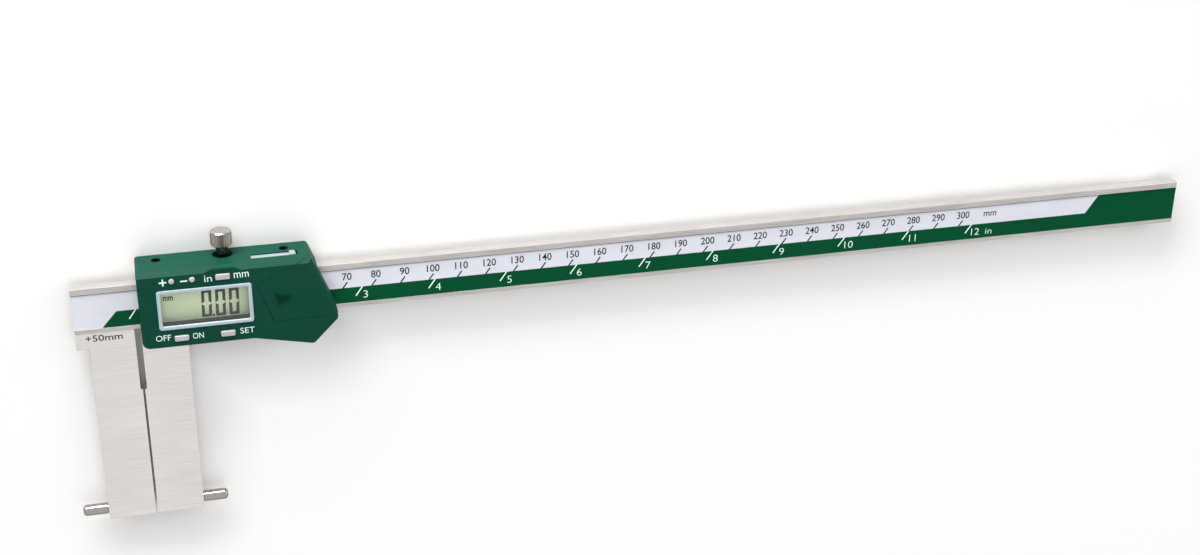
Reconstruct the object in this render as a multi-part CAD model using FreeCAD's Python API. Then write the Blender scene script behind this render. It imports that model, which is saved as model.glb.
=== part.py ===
"""Digital inside point caliper, 300 mm, in millimetres.

It lies flat on its back: +X runs along the beam, +Y points from the jaws to the lock screw and +Z comes
out of the display. It is drawn about a working datum: X 0 is the plane where the jaws close, Y 0 the
middle of the beam and Z 0 the front of the beam's rails. At the end everything moves so that the origin
is at the middle of the bottom.
"""
import FreeCAD, Part
import math
import os

# How far a cutting tool runs past the face that it cuts
overrun = 1.0

# Beam and scale
travel = 300.0
beam_overhang = 20.4
beam_width = 16.5
beam_thickness = 4.0
top_rail = 2.2
bottom_rail = 1.5
label_recess = 0.2
label_thickness = 0.15
grating_thickness = 0.5

# Jaws and measuring points
closed_size = 50.0
jaw_width = 15.95
jaw_root = 1.0
jaw_slit = 0.7
jaw_depth = 72.7
jaw_relief = 0.7
jaw_relief_depth = 23.0
jaw_tip_chamfer = 0.5
tab_depth = 5.9
point_diameter = 4.0
point_height = 3.35
point_round = 1.3
shank_diameter = 2.2
shank_length = 9.0

# Running and seating clearances
back_gap = 0.05
rail_gap = 0.03
gib_gap = 0.04
gib_slack = 0.11
board_gap = 0.15
fit_gap = 0.05
key_gap = 0.25
cover_way_gap = 0.1

# Slider frame
slider_left = 1.25
frame_inset = 0.25
frame_end_wall = 0.6
frame_back_wall = 2.45
frame_top_wall = 3.5
frame_bottom_wall = 2.2
beam_way_gap = 0.25
jaw_way_gap = 0.1
gib_thickness = 1.2
gib_height = 3.4
gib_end_wall = 2.25
gib_screw_diameter = 3.0
gib_screw_below_top = 0.9
gib_screw_from_left = 6.7
gib_screw_from_right = 7.5
gib_slot_width = 0.5
gib_slot_depth = 0.7

# Housing
housing_top_wall = 2.2
housing_bottom_wall = 1.6
housing_side_wall = 1.6
face_wall = 1.6
housing_corner = 2.6
housing_top_corner = 1.2
cavity_corner = 0.8
slant_run = 8.0
slant_foot = 5.1
slant_top_round = 1.6
slant_foot_round = 1.0
heel_drop = 1.2
heel_round = 1.2
heel_wall = 0.6
rest_start_from_right = 28.55
rest_start_round = 6.0
rest_tip_from_right = 8.65
rest_tip_round = 1.6
rest_depth = 4.3
bevel_height = 1.7
bevel_depth = 1.8
side_bevel = 1.3
pad_width = 7.6
pad_slope = 2.2
pad_rise = 1.1
pad_root = 0.5
gib_hole_diameter = 3.2
lock_hole_diameter = 6.8

# Display
bezel_from_left = 5.95
display_y = 1.4
bezel_length = 31.2
bezel_height = 14.4
bezel_border = 1.25
bezel_proud = 0.2
bezel_lip = 0.8
bezel_corner = 1.0
bezel_inner_corner = 0.5
window_ledge = 0.6
lcd_end_overlap = 0.7
lcd_side_overlap = 0.6
lcd_thickness = 1.9
lcd_margin = 0.1
holder_wall = 0.8
holder_lip = 2.4
holder_view_gap = 0.1
zebra_width = 1.6
zebra_gap = 0.1
zebra_inset = 1.5

# Circuit board
board_thickness = 1.0
board_end_gap = 0.35
board_edge_gap = 0.2
board_hole_gap = 0.05
board_notch_width = 1.6
chip_width = 8.0
chip_height = 1.0
crystal_diameter = 1.4
crystal_length = 6.0
crystal_gap = 1.2
crystal_above_middle = 2.0
board_screw_offset = 20.75
board_screw_head = 2.2
board_screw_head_height = 0.6
board_screw_grip = 2.5

# Screws through the frame into the housing
screw_diameter = 1.4
screw_head = 2.3
screw_head_height = 0.9
screw_head_recess = 0.2
screw_grip = 3.2
screw_tip_gap = 0.2
boss_diameter = 3.0
boss_top_from_left = 3.1
boss_top_from_port = 3.7
boss_bottom_from_left = 4.5
boss_bottom_from_right = 4.0
boss_from_top = 1.55

# Buttons
key_length = 4.8
key_width = 2.1
key_corner = 0.5
key_edge = 0.2
round_key_diameter = 1.9
key_proud = 0.3
key_flange = 0.8
round_key_flange = 0.4
key_flange_thickness = 0.5
key_stem_width = 1.4
key_free_gap = 0.05
key_travel = 0.4
top_key_from_edge = 3.6
bottom_key_from_edge = 2.85
plus_offset = 11.25
minus_offset = 17.95
unit_key_from_boss = 6.2
power_offset = 12.95
set_offset = 28.25
dome_width = 2.3
dome_crown = 1.4
dome_height = 0.45

# Battery and its cover
battery_diameter = 11.6
battery_height = 5.4
battery_cap_diameter = 9.3
battery_cap_height = 0.5
battery_shoulder = 0.3
battery_from_cover_corner = 13.05
battery_y = 2.2
battery_gap = 0.3
battery_ring = 1.2
contact_height = 0.4
contact_thickness = 0.2
contact_width = 3.0
contact_gap = 0.2
contact_foot = 2.0
contact_reach = 2.0
contact_rise_end = 1.5
contact_slot_height = 1.4
plus_contact_drop = 1.8
cover_gap = 0.05
cover_seat_gap = 0.02
cover_from_bezel = 2.0
cover_corner_y = 7.15
cover_foot_run = 4.6
cover_foot_y = -6.5
cover_length = 26.2
cover_slope = 25.8
cover_round = 0.9
tongue_reach = 0.7
tongue_thickness = 0.7
tongue_start = 2.0
tongue_length = 12.0
tongue_root = 0.5
upper_tongue_length = 6.0
deck_thickness = 1.2
ridge_count = 7
ridge_pitch = 0.78
ridge_width = 0.4
ridge_height = 0.3
ridge_root = 0.1
ridge_longest = 4.4
ridge_top_fall = 0.3
ridge_from_cover_corner = 5.2
ridge_top_y = 3.9

# Lock screw
lock_from_boss = 5.3
lock_head_diameter = 7.0
lock_head_height = 5.45
lock_head_edge = 0.45
lock_head_above = 3.2
lock_neck_diameter = 4.0
lock_neck_above_frame = 0.9
lock_thread_diameter = 3.0
lock_thread_length = 2.6
thread_gap = 0.04
knurl_count = 30
knurl_depth = 0.25
shoe_diameter = 2.6
lock_free_gap = 0.2

# Data port
port_from_corner = 3.9
port_length = 15.6
port_height = 3.2
port_z = 2.5
shutter_below_top = 0.45
shutter_thickness = 0.8
shutter_edge = 0.4
shutter_travel = 9.0
nub_length = 1.9
nub_clear = 0.8
nub_proud = 0.35
nub_side_gap = 0.1
nub_root = 0.1
port_groove_depth = 0.5
port_end_room = 0.6
port_block_end = 0.7
port_block_depth = 1.2
port_contact_count = 4
port_contact_pitch = 2.0
port_contact_width = 1.0
port_contact_reach = 0.3
port_contact_inset = 0.2
port_contact_shift = 1.0

# End stop
stop_length = 14.0
stop_thickness = 2.0
stop_chamfer = 0.3
stop_margin = 1.5
stop_from_end = 7.5
stop_side_gap = 0.6
stop_screw_pitch = 9.0
stop_screw_diameter = 2.0
stop_screw_head = 3.6
stop_screw_head_height = 1.1
stop_screw_grip = 2.4


def box(x0, x1, y0, y1, z0, z1):
    """Block between two corners."""
    return Part.makeBox(x1 - x0, y1 - y0, z1 - z0, FreeCAD.Vector(x0, y0, z0))


def rod(x, y, z, axis, diameter, length):
    """Cylinder that starts at a point and runs along an axis."""
    return Part.makeCylinder(diameter / 2, length, FreeCAD.Vector(x, y, z), FreeCAD.Vector(*axis))


def outline(corners):
    """Closed wire in the XY plane from (x, y, radius) corners; a corner with a radius gets an arc."""
    edges = []
    ends = []
    count = len(corners)
    for i, (x, y, radius) in enumerate(corners):
        here = FreeCAD.Vector(x, y, 0)
        before = FreeCAD.Vector(corners[i - 1][0], corners[i - 1][1], 0)
        after = FreeCAD.Vector(corners[(i + 1) % count][0], corners[(i + 1) % count][1], 0)
        if radius == 0:
            ends.append((here, here, None))
            continue
        back = (before - here).normalize()
        ahead = (after - here).normalize()
        half = back.getAngle(ahead) / 2
        run = radius / math.tan(half)
        middle = (back + ahead).normalize() * (radius / math.sin(half) - radius)
        ends.append((here + back * run, here + ahead * run, here + middle))
    for i, (start, end, middle) in enumerate(ends):
        if middle is not None:
            edges.append(Part.Arc(start, middle, end).toShape())
        edges.append(Part.LineSegment(end, ends[(i + 1) % count][0]).toShape())
    return Part.Wire(edges)


def slab(corners, z0, z1):
    """Plate with a given outline between two heights."""
    face = Part.Face(outline(corners))
    face.translate(FreeCAD.Vector(0, 0, z0))
    return face.extrude(FreeCAD.Vector(0, 0, z1 - z0))


def rounded_plate(x, y, length, width, radius, z0, z1):
    """Plate with rounded corners, centred on a point."""
    left, right = x - length / 2, x + length / 2
    low, high = y - width / 2, y + width / 2
    corners = [(left, low, radius), (right, low, radius), (right, high, radius), (left, high, radius)]
    return slab(corners, z0, z1)


def turned(profile, x, y, z, axis):
    """Solid of revolution from (radius, height) points, standing at a point along an axis."""
    points = [FreeCAD.Vector(r, 0, h) for r, h in profile]
    face = Part.Face(Part.makePolygon(points + points[:1]))
    shape = face.revolve(FreeCAD.Vector(0, 0, 0), FreeCAD.Vector(0, 0, 1), 360)
    turn = FreeCAD.Rotation(FreeCAD.Vector(0, 0, 1), FreeCAD.Vector(*axis))
    shape.Placement = FreeCAD.Placement(FreeCAD.Vector(x, y, z), turn)
    return shape


def fused(shapes):
    """One solid out of touching or overlapping ones."""
    joined = shapes[0].fuse(shapes[1:]) if len(shapes) > 1 else shapes[0]
    return joined.removeSplitter()


def cut(shape, tools):
    """Shape with all the tools taken away."""
    return shape.cut(Part.makeCompound(tools))


# Levels and edges that several pieces share
display_middle = slider_left + bezel_from_left + bezel_length / 2
cover_corner_x = display_middle + bezel_length / 2 + cover_from_bezel
cover_foot_x = cover_corner_x + cover_foot_run
housing_right = cover_corner_x + cover_length
housing_corner_x = housing_right - slant_run
battery_x = cover_corner_x + battery_from_cover_corner
port_left = housing_corner_x - port_from_corner - port_length
port_boss_x = port_left - boss_top_from_port
unit_key_x = port_boss_x - unit_key_from_boss
plus_key_x = slider_left + plus_offset
minus_key_x = slider_left + minus_offset
stop_left = housing_right + travel + stop_margin
beam_left = -beam_overhang
beam_right = stop_left + stop_length + stop_from_end
beam_top = beam_width / 2
beam_bottom = -beam_width / 2
beam_back = -beam_thickness
label_face = -label_recess
label_top = beam_top - top_rail
label_bottom = beam_bottom + bottom_rail
pocket_floor = label_face - label_thickness - grating_thickness
jaw_bottom = beam_bottom - jaw_depth
jaw_inner = jaw_slit / 2
jaw_outer = jaw_inner + jaw_width
point_y = jaw_bottom + point_height
point_z = beam_back / 2
point_reach = closed_size / 2 - jaw_outer

frame_left = slider_left + frame_inset
frame_right = housing_corner_x - frame_end_wall
frame_floor = beam_back - back_gap
frame_back = frame_floor - frame_back_wall
frame_front = board_gap
frame_channel_bottom = beam_bottom - rail_gap
frame_bottom = frame_channel_bottom - frame_bottom_wall
gib_bottom = beam_top + gib_gap
gib_top = gib_bottom + gib_thickness
frame_channel_top = gib_top + gib_slack
frame_top = frame_channel_top + frame_top_wall
frame_top_middle = (frame_channel_top + frame_top) / 2
frame_bottom_middle = (frame_channel_bottom + frame_bottom) / 2
gib_left = frame_left + gib_end_wall
gib_right = frame_right - gib_end_wall
gib_screw_places = (frame_left + gib_screw_from_left, frame_right - gib_screw_from_right)

cavity_top = frame_top + fit_gap
cavity_bottom = frame_bottom - fit_gap
housing_top = cavity_top + housing_top_wall
housing_bottom = cavity_bottom - housing_bottom_wall
board_top = board_gap + board_thickness
battery_bottom = board_top + contact_height
battery_top = battery_bottom + battery_height
face_back = battery_top + cover_gap
face = face_back + face_wall

key_flange_top = face_back - cover_gap
top_key_y = housing_top - top_key_from_edge
bottom_key_y = housing_bottom + bottom_key_from_edge
dome_top = board_top + dome_height
lcd_top = face_back - holder_lip
lcd_bottom = lcd_top - lcd_thickness
lcd_length = bezel_length + 2 * lcd_end_overlap
lcd_height = bezel_height + 2 * lcd_side_overlap
boss_y = housing_top - housing_top_wall - boss_from_top
board_left = slider_left + housing_side_wall + board_end_gap
cavity_right = housing_corner_x - housing_side_wall
board_right = cavity_right - board_end_gap
shutter_top = housing_top - shutter_below_top
shutter_bottom = shutter_top - shutter_thickness
lock_x = port_boss_x - lock_from_boss


def main_beam():
    """Beam with rails, scale pocket and the fixed jaw, cut from one blank."""
    blank = slab([
        (beam_left, beam_top, 0), (beam_left, beam_bottom - tab_depth, 0),
        (-jaw_outer, beam_bottom - tab_depth, 0), (-jaw_outer, jaw_bottom, 0),
        (-jaw_inner - jaw_tip_chamfer, jaw_bottom, 0),
        (-jaw_inner, jaw_bottom + jaw_tip_chamfer, 0), (-jaw_inner, beam_bottom - jaw_relief_depth, 0),
        (-jaw_inner - jaw_relief, beam_bottom - jaw_relief_depth, 0),
        (-jaw_inner - jaw_relief, beam_bottom, 0),
        (beam_right, beam_bottom, 0), (beam_right, beam_top, 0)], beam_back, 0)
    pocket = box(beam_left, beam_right, label_bottom, label_top, pocket_floor, 0)
    shank = rod(-jaw_outer, point_y, point_z, (1, 0, 0), shank_diameter, shank_length)
    holes = [rod(x, y, beam_back, (0, 0, 1), stop_screw_diameter, stop_screw_grip)
             for x, y in stop_screw_places()]
    return cut(blank, [pocket, shank] + holes)


def scale_grating():
    """Electrode strip bonded into the scale pocket."""
    return box(beam_left, beam_right, label_bottom, label_top, pocket_floor, pocket_floor + grating_thickness)


def scale_label():
    """Printed foil over the electrode strip."""
    return box(beam_left, beam_right, label_bottom, label_top, label_face - label_thickness, label_face)


def measuring_point(side):
    """Round-ended pin with a thinner shank that sits in the side of a jaw."""
    radius = point_diameter / 2
    flat = radius - point_round
    shank = shank_diameter / 2
    cosine = point_round * math.cos(math.pi / 4)
    profile = Part.Wire([
        Part.LineSegment(FreeCAD.Vector(0, 0, -shank_length),
                         FreeCAD.Vector(shank, 0, -shank_length)).toShape(),
        Part.LineSegment(FreeCAD.Vector(shank, 0, -shank_length), FreeCAD.Vector(shank, 0, 0)).toShape(),
        Part.LineSegment(FreeCAD.Vector(shank, 0, 0), FreeCAD.Vector(radius, 0, 0)).toShape(),
        Part.LineSegment(FreeCAD.Vector(radius, 0, 0),
                         FreeCAD.Vector(radius, 0, point_reach - point_round)).toShape(),
        Part.Arc(FreeCAD.Vector(radius, 0, point_reach - point_round),
                 FreeCAD.Vector(flat + cosine, 0, point_reach - point_round + cosine),
                 FreeCAD.Vector(flat, 0, point_reach)).toShape(),
        Part.LineSegment(FreeCAD.Vector(flat, 0, point_reach), FreeCAD.Vector(0, 0, point_reach)).toShape(),
        Part.LineSegment(FreeCAD.Vector(0, 0, point_reach), FreeCAD.Vector(0, 0, -shank_length)).toShape()])
    pin = Part.Face(profile).revolve(FreeCAD.Vector(0, 0, 0), FreeCAD.Vector(0, 0, 1), 360)
    turn = FreeCAD.Rotation(FreeCAD.Vector(0, 0, 1), FreeCAD.Vector(side, 0, 0))
    pin.Placement = FreeCAD.Placement(FreeCAD.Vector(side * jaw_outer, point_y, point_z), turn)
    return pin


def stop_screw_places():
    """Centres of the two stop plate screws."""
    x = stop_left + stop_length / 2
    return [(x, -stop_screw_pitch / 2), (x, stop_screw_pitch / 2)]


def end_stop():
    """Plate on the back of the beam that stops the slider at full travel."""
    plate = box(stop_left, stop_left + stop_length, beam_bottom + stop_side_gap, beam_top - stop_side_gap,
                beam_back - stop_thickness, beam_back)
    outer_edges = [edge for edge in plate.Edges if edge.BoundBox.ZMax < beam_back]
    return cut(plate.makeChamfer(stop_chamfer, outer_edges), end_stop_screw_solids())


def end_stop_screw_solids():
    """Two countersunk screws, heads flush with the plate's outside."""
    low = beam_back - stop_thickness
    head, shank = stop_screw_head / 2, stop_screw_diameter / 2
    tip = stop_thickness + stop_screw_grip
    profile = [(0, 0), (head, 0), (shank, stop_screw_head_height), (shank, tip), (0, tip)]
    return [turned(profile, x, y, low, (0, 0, 1)) for x, y in stop_screw_places()]


def slider_frame():
    """Steel channel round the beam, with the moving jaw in one piece."""
    block = box(frame_left, frame_right, frame_bottom, frame_top, frame_back, frame_front)
    jaw = slab([
        (jaw_inner + jaw_relief, frame_bottom + jaw_root, 0),
        (jaw_inner + jaw_relief, beam_bottom - jaw_relief_depth, 0),
        (jaw_inner, beam_bottom - jaw_relief_depth, 0), (jaw_inner, jaw_bottom + jaw_tip_chamfer, 0),
        (jaw_inner + jaw_tip_chamfer, jaw_bottom, 0), (jaw_outer, jaw_bottom, 0),
        (jaw_outer, frame_bottom + jaw_root, 0)], beam_back, 0)
    solid = block.fuse(jaw)
    channel = box(jaw_inner, frame_right, frame_channel_bottom, beam_top + rail_gap, frame_floor, frame_front)
    gib_pocket = box(gib_left - fit_gap, gib_right + fit_gap, 0, frame_channel_top, frame_floor, frame_front)
    holes = [rod(x, gib_top, point_z, (0, 1, 0), gib_screw_diameter, frame_top - gib_top)
             for x in gib_screw_places]
    holes.append(rod(lock_x, gib_top, point_z, (0, 1, 0), lock_thread_diameter + 2 * thread_gap,
                     frame_top - gib_top))
    holes.append(rod(jaw_outer, point_y, point_z, (-1, 0, 0), shank_diameter, shank_length))
    holes += [rod(x, y, frame_back, (0, 0, 1), screw_diameter, frame_front - frame_back)
              for x, y in boss_places() + board_screw_places()]
    holes += [rod(x, y, frame_back, (0, 0, 1), screw_head, screw_head_height) for x, y in boss_places()]
    return fused([cut(solid, [channel, gib_pocket] + holes)])


def gib_strip():
    """Brass strip that takes up the play on the beam's top edge."""
    return box(gib_left, gib_right, gib_bottom, gib_top, point_z - gib_height / 2, point_z + gib_height / 2)


def gib_screws():
    """Two slotted set screws that press on the gib strip."""
    screws = []
    for x in gib_screw_places:
        top = housing_top - gib_screw_below_top
        screw = rod(x, gib_top, point_z, (0, 1, 0), gib_screw_diameter, top - gib_top)
        slot = box(x - gib_slot_width / 2, x + gib_slot_width / 2, top - gib_slot_depth, top,
                   point_z - gib_screw_diameter, point_z + gib_screw_diameter)
        screws.append(screw.cut(slot))
    return screws


def boss_places():
    """Centres of the four screws that hold the housing."""
    return [(frame_left + boss_top_from_left, boss_y), (port_boss_x, boss_y),
            (frame_left + boss_bottom_from_left, frame_bottom_middle),
            (frame_right - boss_bottom_from_right, frame_bottom_middle)]


def board_screw_places():
    """Centres of the two screws that hold the board on the frame."""
    return [((minus_key_x + unit_key_x) / 2, frame_top_middle),
            (frame_left + board_screw_offset, frame_bottom_middle)]


def housing_form():
    """Outer form of the housing with its bevels and the raised pad, still solid."""
    corners = [
        (slider_left, housing_top, housing_top_corner), (slider_left, housing_bottom, housing_corner),
        (housing_right - rest_start_from_right, housing_bottom, rest_start_round),
        (housing_right - rest_tip_from_right, housing_bottom - rest_depth, rest_tip_round),
        (housing_right, cover_foot_y - heel_drop, heel_round), (housing_right, -slant_foot, slant_foot_round),
        (housing_corner_x, housing_top, slant_top_round)]
    body = slab(corners, frame_back, face)
    bevel = Part.Face(Part.makePolygon([
        FreeCAD.Vector(0, housing_top - bevel_height, face), FreeCAD.Vector(0, housing_top + overrun, face),
        FreeCAD.Vector(0, housing_top + overrun, face - bevel_depth),
        FreeCAD.Vector(0, housing_top, face - bevel_depth),
        FreeCAD.Vector(0, housing_top - bevel_height, face)]))
    slant = FreeCAD.Vector(slant_run, -slant_foot - housing_top, 0).normalize()
    outward = FreeCAD.Vector(-slant.y, slant.x, 0)
    down = FreeCAD.Vector(0, 0, -side_bevel)
    housing_width = housing_top - housing_bottom
    start = FreeCAD.Vector(housing_corner_x, housing_top, face) - slant * housing_width
    clear = start + outward * (slant_run + overrun)
    side = Part.Face(Part.makePolygon([
        start - outward * side_bevel, clear, clear + down, start + down, start - outward * side_bevel]))
    bevels = [bevel.extrude(FreeCAD.Vector(housing_right, 0, 0)), side.extrude(slant * 3 * housing_width)]
    low = housing_top - bevel_height - pad_root
    wide = pad_width / 2 + pad_slope
    shoulder, crest = housing_top - bevel_height, housing_top - bevel_height + pad_rise
    pad = slab([
        (unit_key_x - wide, low, 0), (unit_key_x + wide, low, 0), (unit_key_x + wide, shoulder, 0),
        (unit_key_x + pad_width / 2, crest, 0), (unit_key_x - pad_width / 2, crest, 0),
        (unit_key_x - wide, shoulder, 0)], face - bevel_depth, face)
    return fused([cut(body, bevels), pad])


def cover_corners(grow):
    """Outline of the battery cover, grown outwards by a clearance."""
    reach = cover_length + overrun
    rise = reach * math.tan(math.radians(cover_slope))
    left, foot = cover_corner_x - grow, cover_foot_x - grow
    return [
        (foot, cover_foot_y - grow, cover_round), (foot + reach, cover_foot_y - grow, 0),
        (left + reach, cover_corner_y + grow + rise, 0), (left, cover_corner_y + grow, cover_round)]


def cover_tongues(grow):
    """Tongues along the cover's lower and upper edges, which run under the housing's face."""
    foot = cover_foot_x + tongue_start
    low, high = face_back, face_back + tongue_thickness + grow
    reach = tongue_reach + grow
    end = foot + tongue_length
    lower = box(foot - grow, end + grow, cover_foot_y - reach, cover_foot_y + tongue_root, low, high)
    angle = math.radians(cover_slope)
    along = FreeCAD.Vector(math.cos(angle), math.sin(angle), 0)
    out = FreeCAD.Vector(-math.sin(angle), math.cos(angle), 0)
    corner = FreeCAD.Vector(cover_corner_x, cover_corner_y, low)
    start = corner + along * (tongue_start - grow) - out * tongue_root
    finish = start + along * (upper_tongue_length + 2 * grow)
    rise = out * (tongue_root + reach)
    upper = Part.Face(Part.makePolygon([start, finish, finish + rise, start + rise, start]))
    return [lower, upper.extrude(FreeCAD.Vector(0, 0, high - low))]


def display_housing():
    """Moulded shell over the frame, with the board's cavity, battery deck, bosses and all openings."""
    form = housing_form()
    low_right = housing_right - housing_side_wall - heel_wall
    cavity_left = slider_left + housing_side_wall
    cavity = slab([
        (cavity_left, cavity_top, 0), (cavity_left, cavity_bottom, cavity_corner),
        (low_right, cavity_bottom, cavity_corner), (low_right, -slant_foot, 0),
        (cavity_right, cavity_top, 0)], frame_front, face_back)
    left, low = slider_left - overrun, frame_back - overrun
    channel = box(left, frame_right + fit_gap, cavity_bottom, cavity_top, low, frame_front)
    beam_way = box(left, housing_right + overrun, beam_bottom - beam_way_gap, beam_top + beam_way_gap, low,
                   frame_front)
    jaw_way = box(left, jaw_outer + jaw_way_gap, housing_bottom - overrun, 0, low, frame_front)
    shell = cut(form, [cavity, channel, beam_way, jaw_way])

    x, y = battery_x, battery_y
    hole = battery_diameter + 2 * battery_gap
    deck = form.common(slab(cover_corners(0), face_back - deck_thickness, face_back))
    ring = rod(x, y, board_top, (0, 0, 1), hole + 2 * battery_ring, face_back - board_top)
    bosses = [rod(bx, by, board_top, (0, 0, 1), boss_diameter, face_back - board_top)
              for bx, by in boss_places()]
    shell = shell.fuse([deck, ring] + bosses)

    tools = [rod(x, y, board_top, (0, 0, 1), hole, face_back - board_top)]
    tools.append(slab(cover_corners(cover_way_gap), face_back, face + overrun))
    tools += cover_tongues(cover_way_gap)
    lower = cover_tongues(cover_way_gap)[0].BoundBox
    tools.append(box(lower.XMin, housing_right + overrun, lower.YMin, lower.YMax, lower.ZMin, lower.ZMax))
    slot = contact_width / 2 + contact_gap
    past_ring = hole / 2 + battery_ring + overrun
    tools.append(box(x - slot, x + slot, y - past_ring, y, board_top, board_top + contact_slot_height))
    tools.append(box(x - past_ring, x, y - slot, y + slot, board_top, face_back - deck_thickness))
    tools.append(rounded_plate(display_middle, display_y, bezel_length + 2 * fit_gap,
                               bezel_height + 2 * fit_gap, bezel_corner, face_back, face + overrun))
    for kx, ky in rectangular_keys():
        tools.append(rounded_plate(kx, ky, key_length + 2 * key_gap, key_width + 2 * key_gap, key_corner,
                                   face_back, face + overrun))
    for kx, ky in round_keys():
        tools.append(rod(kx, ky, face_back, (0, 0, 1), round_key_diameter + 2 * key_gap, face_wall + overrun))
    for bx, by in boss_places():
        tools.append(rod(bx, by, board_top, (0, 0, 1), screw_diameter, screw_grip))
    past_top = housing_top_wall + overrun
    for gib_x in gib_screw_places:
        tools.append(rod(gib_x, cavity_top, point_z, (0, 1, 0), gib_hole_diameter, past_top))
    tools.append(rod(lock_x, cavity_top, point_z, (0, 1, 0), lock_hole_diameter, past_top))
    tools.append(box(port_left, port_left + port_length, shutter_top, housing_top + overrun,
                     port_z - port_height / 2, port_z + port_height / 2))
    groove = port_height / 2 + shutter_edge + fit_gap
    tools.append(box(port_left - shutter_edge - shutter_travel - nub_side_gap,
                     port_left + port_length + port_end_room, cavity_top - port_groove_depth,
                     shutter_top + fit_gap, port_z - groove, port_z + groove))
    return fused([cut(shell, tools)])


def housing_screws():
    """Four screws from the back, through frame and board into the bosses."""
    length = board_top - frame_back + screw_grip - screw_tip_gap
    head, shank = screw_head / 2, screw_diameter / 2
    profile = [(0, screw_head_recess), (head, screw_head_recess), (head, screw_head_height),
               (shank, screw_head_height), (shank, length), (0, length)]
    return [turned(profile, x, y, frame_back, (0, 0, 1)) for x, y in boss_places()]


def display_bezel():
    """Pale frame round the window, let into the housing's face."""
    x, y = display_middle, display_y
    ring = rounded_plate(x, y, bezel_length, bezel_height, bezel_corner, face_back, face + bezel_proud)
    opening = rounded_plate(x, y, bezel_length - 2 * bezel_border, bezel_height - 2 * bezel_border,
                            bezel_inner_corner, face_back, face + bezel_proud)
    edge = bezel_border - window_ledge
    ledge = rounded_plate(x, y, bezel_length - 2 * edge, bezel_height - 2 * edge, bezel_inner_corner,
                          face_back, face + bezel_proud - bezel_lip)
    return cut(ring, [opening, ledge])


def display_window():
    """Clear window under the bezel's lip."""
    edge = bezel_border - window_ledge + fit_gap
    return rounded_plate(display_middle, display_y, bezel_length - 2 * edge, bezel_height - 2 * edge,
                         bezel_inner_corner, face_back, face + bezel_proud - bezel_lip)


def display_block(half_length, half_height, z0, z1):
    """Block centred on the display."""
    x, y = display_middle, display_y
    return box(x - half_length, x + half_length, y - half_height, y + half_height, z0, z1)


def lcd_panel():
    """Display glass."""
    return display_block(lcd_length / 2, lcd_height / 2, lcd_bottom, lcd_top)


def lcd_holder():
    """Black frame that holds the display glass over the board."""
    length, height = lcd_length / 2 + lcd_margin, lcd_height / 2 + lcd_margin
    outer = display_block(length + holder_wall, height + holder_wall, board_top, face_back)
    glass = display_block(length, height, board_top, lcd_top)
    border = bezel_border - holder_view_gap
    view = display_block(bezel_length / 2 - border, bezel_height / 2 - border, lcd_top, face_back)
    return cut(outer, [glass, view])


def zebra_strips():
    """Two elastomer strips that join the board to the display glass."""
    x = display_middle
    strips = []
    for side in (-1, 1):
        y = display_y + side * (lcd_height / 2 - zebra_width / 2 - zebra_gap)
        strips.append(box(x - lcd_length / 2 + zebra_inset, x + lcd_length / 2 - zebra_inset,
                          y - zebra_width / 2, y + zebra_width / 2, board_top, lcd_bottom))
    return strips


def circuit_board():
    """Board with the sensor electrodes, lying on the frame's front edges, notched for the housing screws."""
    low, high = cavity_bottom + board_edge_gap, cavity_top - board_edge_gap
    board = box(board_left, board_right, low, high, board_gap, board_top)
    openings = [rod(x, y, board_gap, (0, 0, 1), screw_diameter + 2 * board_hole_gap, board_thickness)
                for x, y in board_screw_places()]
    half = board_notch_width / 2
    for x, y in boss_places():
        start, end = (y - half, high) if y > 0 else (low, y + half)
        openings.append(box(x - half, x + half, start, end, board_gap, board_top))
    return cut(board, openings)


def board_screws():
    """Two pan head screws from the board into the frame."""
    head, shank = board_screw_head / 2, screw_diameter / 2
    low, seat = frame_front - board_screw_grip, board_top
    profile = [(0, 0), (shank, 0), (shank, seat - low), (head, seat - low),
               (head, seat - low + board_screw_head_height), (0, seat - low + board_screw_head_height)]
    return [turned(profile, x, y, low, (0, 0, 1)) for x, y in board_screw_places()]


def processor_chip():
    """Square flat chip on the board."""
    return display_block(chip_width / 2, chip_width / 2, board_top, board_top + chip_height)


def quartz_crystal():
    """Quartz can that lies on the board beside the chip."""
    x = display_middle + chip_width / 2 + crystal_gap
    return rod(x, display_y + crystal_above_middle, board_top + crystal_diameter / 2, (1, 0, 0),
               crystal_diameter, crystal_length)


def rectangular_keys():
    """Centres of the power, set and unit buttons."""
    return [(slider_left + power_offset, bottom_key_y), (slider_left + set_offset, bottom_key_y),
            (unit_key_x, top_key_y)]


def round_keys():
    """Centres of the plus and minus buttons."""
    return [(plus_key_x, top_key_y), (minus_key_x, top_key_y)]


def key_stem(x, y):
    """Square stem of a button, which ends just above its dome switch."""
    half = key_stem_width / 2
    return box(x - half, x + half, y - half, y + half, dome_top + key_travel + key_free_gap, key_flange_top)


def rectangular_key(x, y):
    """Oblong button with a flange at each end."""
    cap = rounded_plate(x, y, key_length, key_width, key_corner, key_flange_top, face + key_proud)
    flange = box(x - key_length / 2 - key_flange, x + key_length / 2 + key_flange, y - key_width / 2,
                 y + key_width / 2, key_flange_top - key_flange_thickness, key_flange_top)
    top_edges = [edge for edge in cap.Edges if edge.BoundBox.ZMin > face]
    return fused([cap.makeChamfer(key_edge, top_edges), flange, key_stem(x, y)])


def round_key(x, y):
    """Small round button with a round flange."""
    radius, flange = round_key_diameter / 2, round_key_diameter / 2 + round_key_flange
    low = key_flange_top - key_flange_thickness
    top = face + key_proud - low
    profile = [(0, 0), (flange, 0), (flange, key_flange_thickness), (radius, key_flange_thickness),
               (radius, top - key_edge), (radius - key_edge, top), (0, top)]
    return fused([turned(profile, x, y, low, (0, 0, 1)), key_stem(x, y)])


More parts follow.
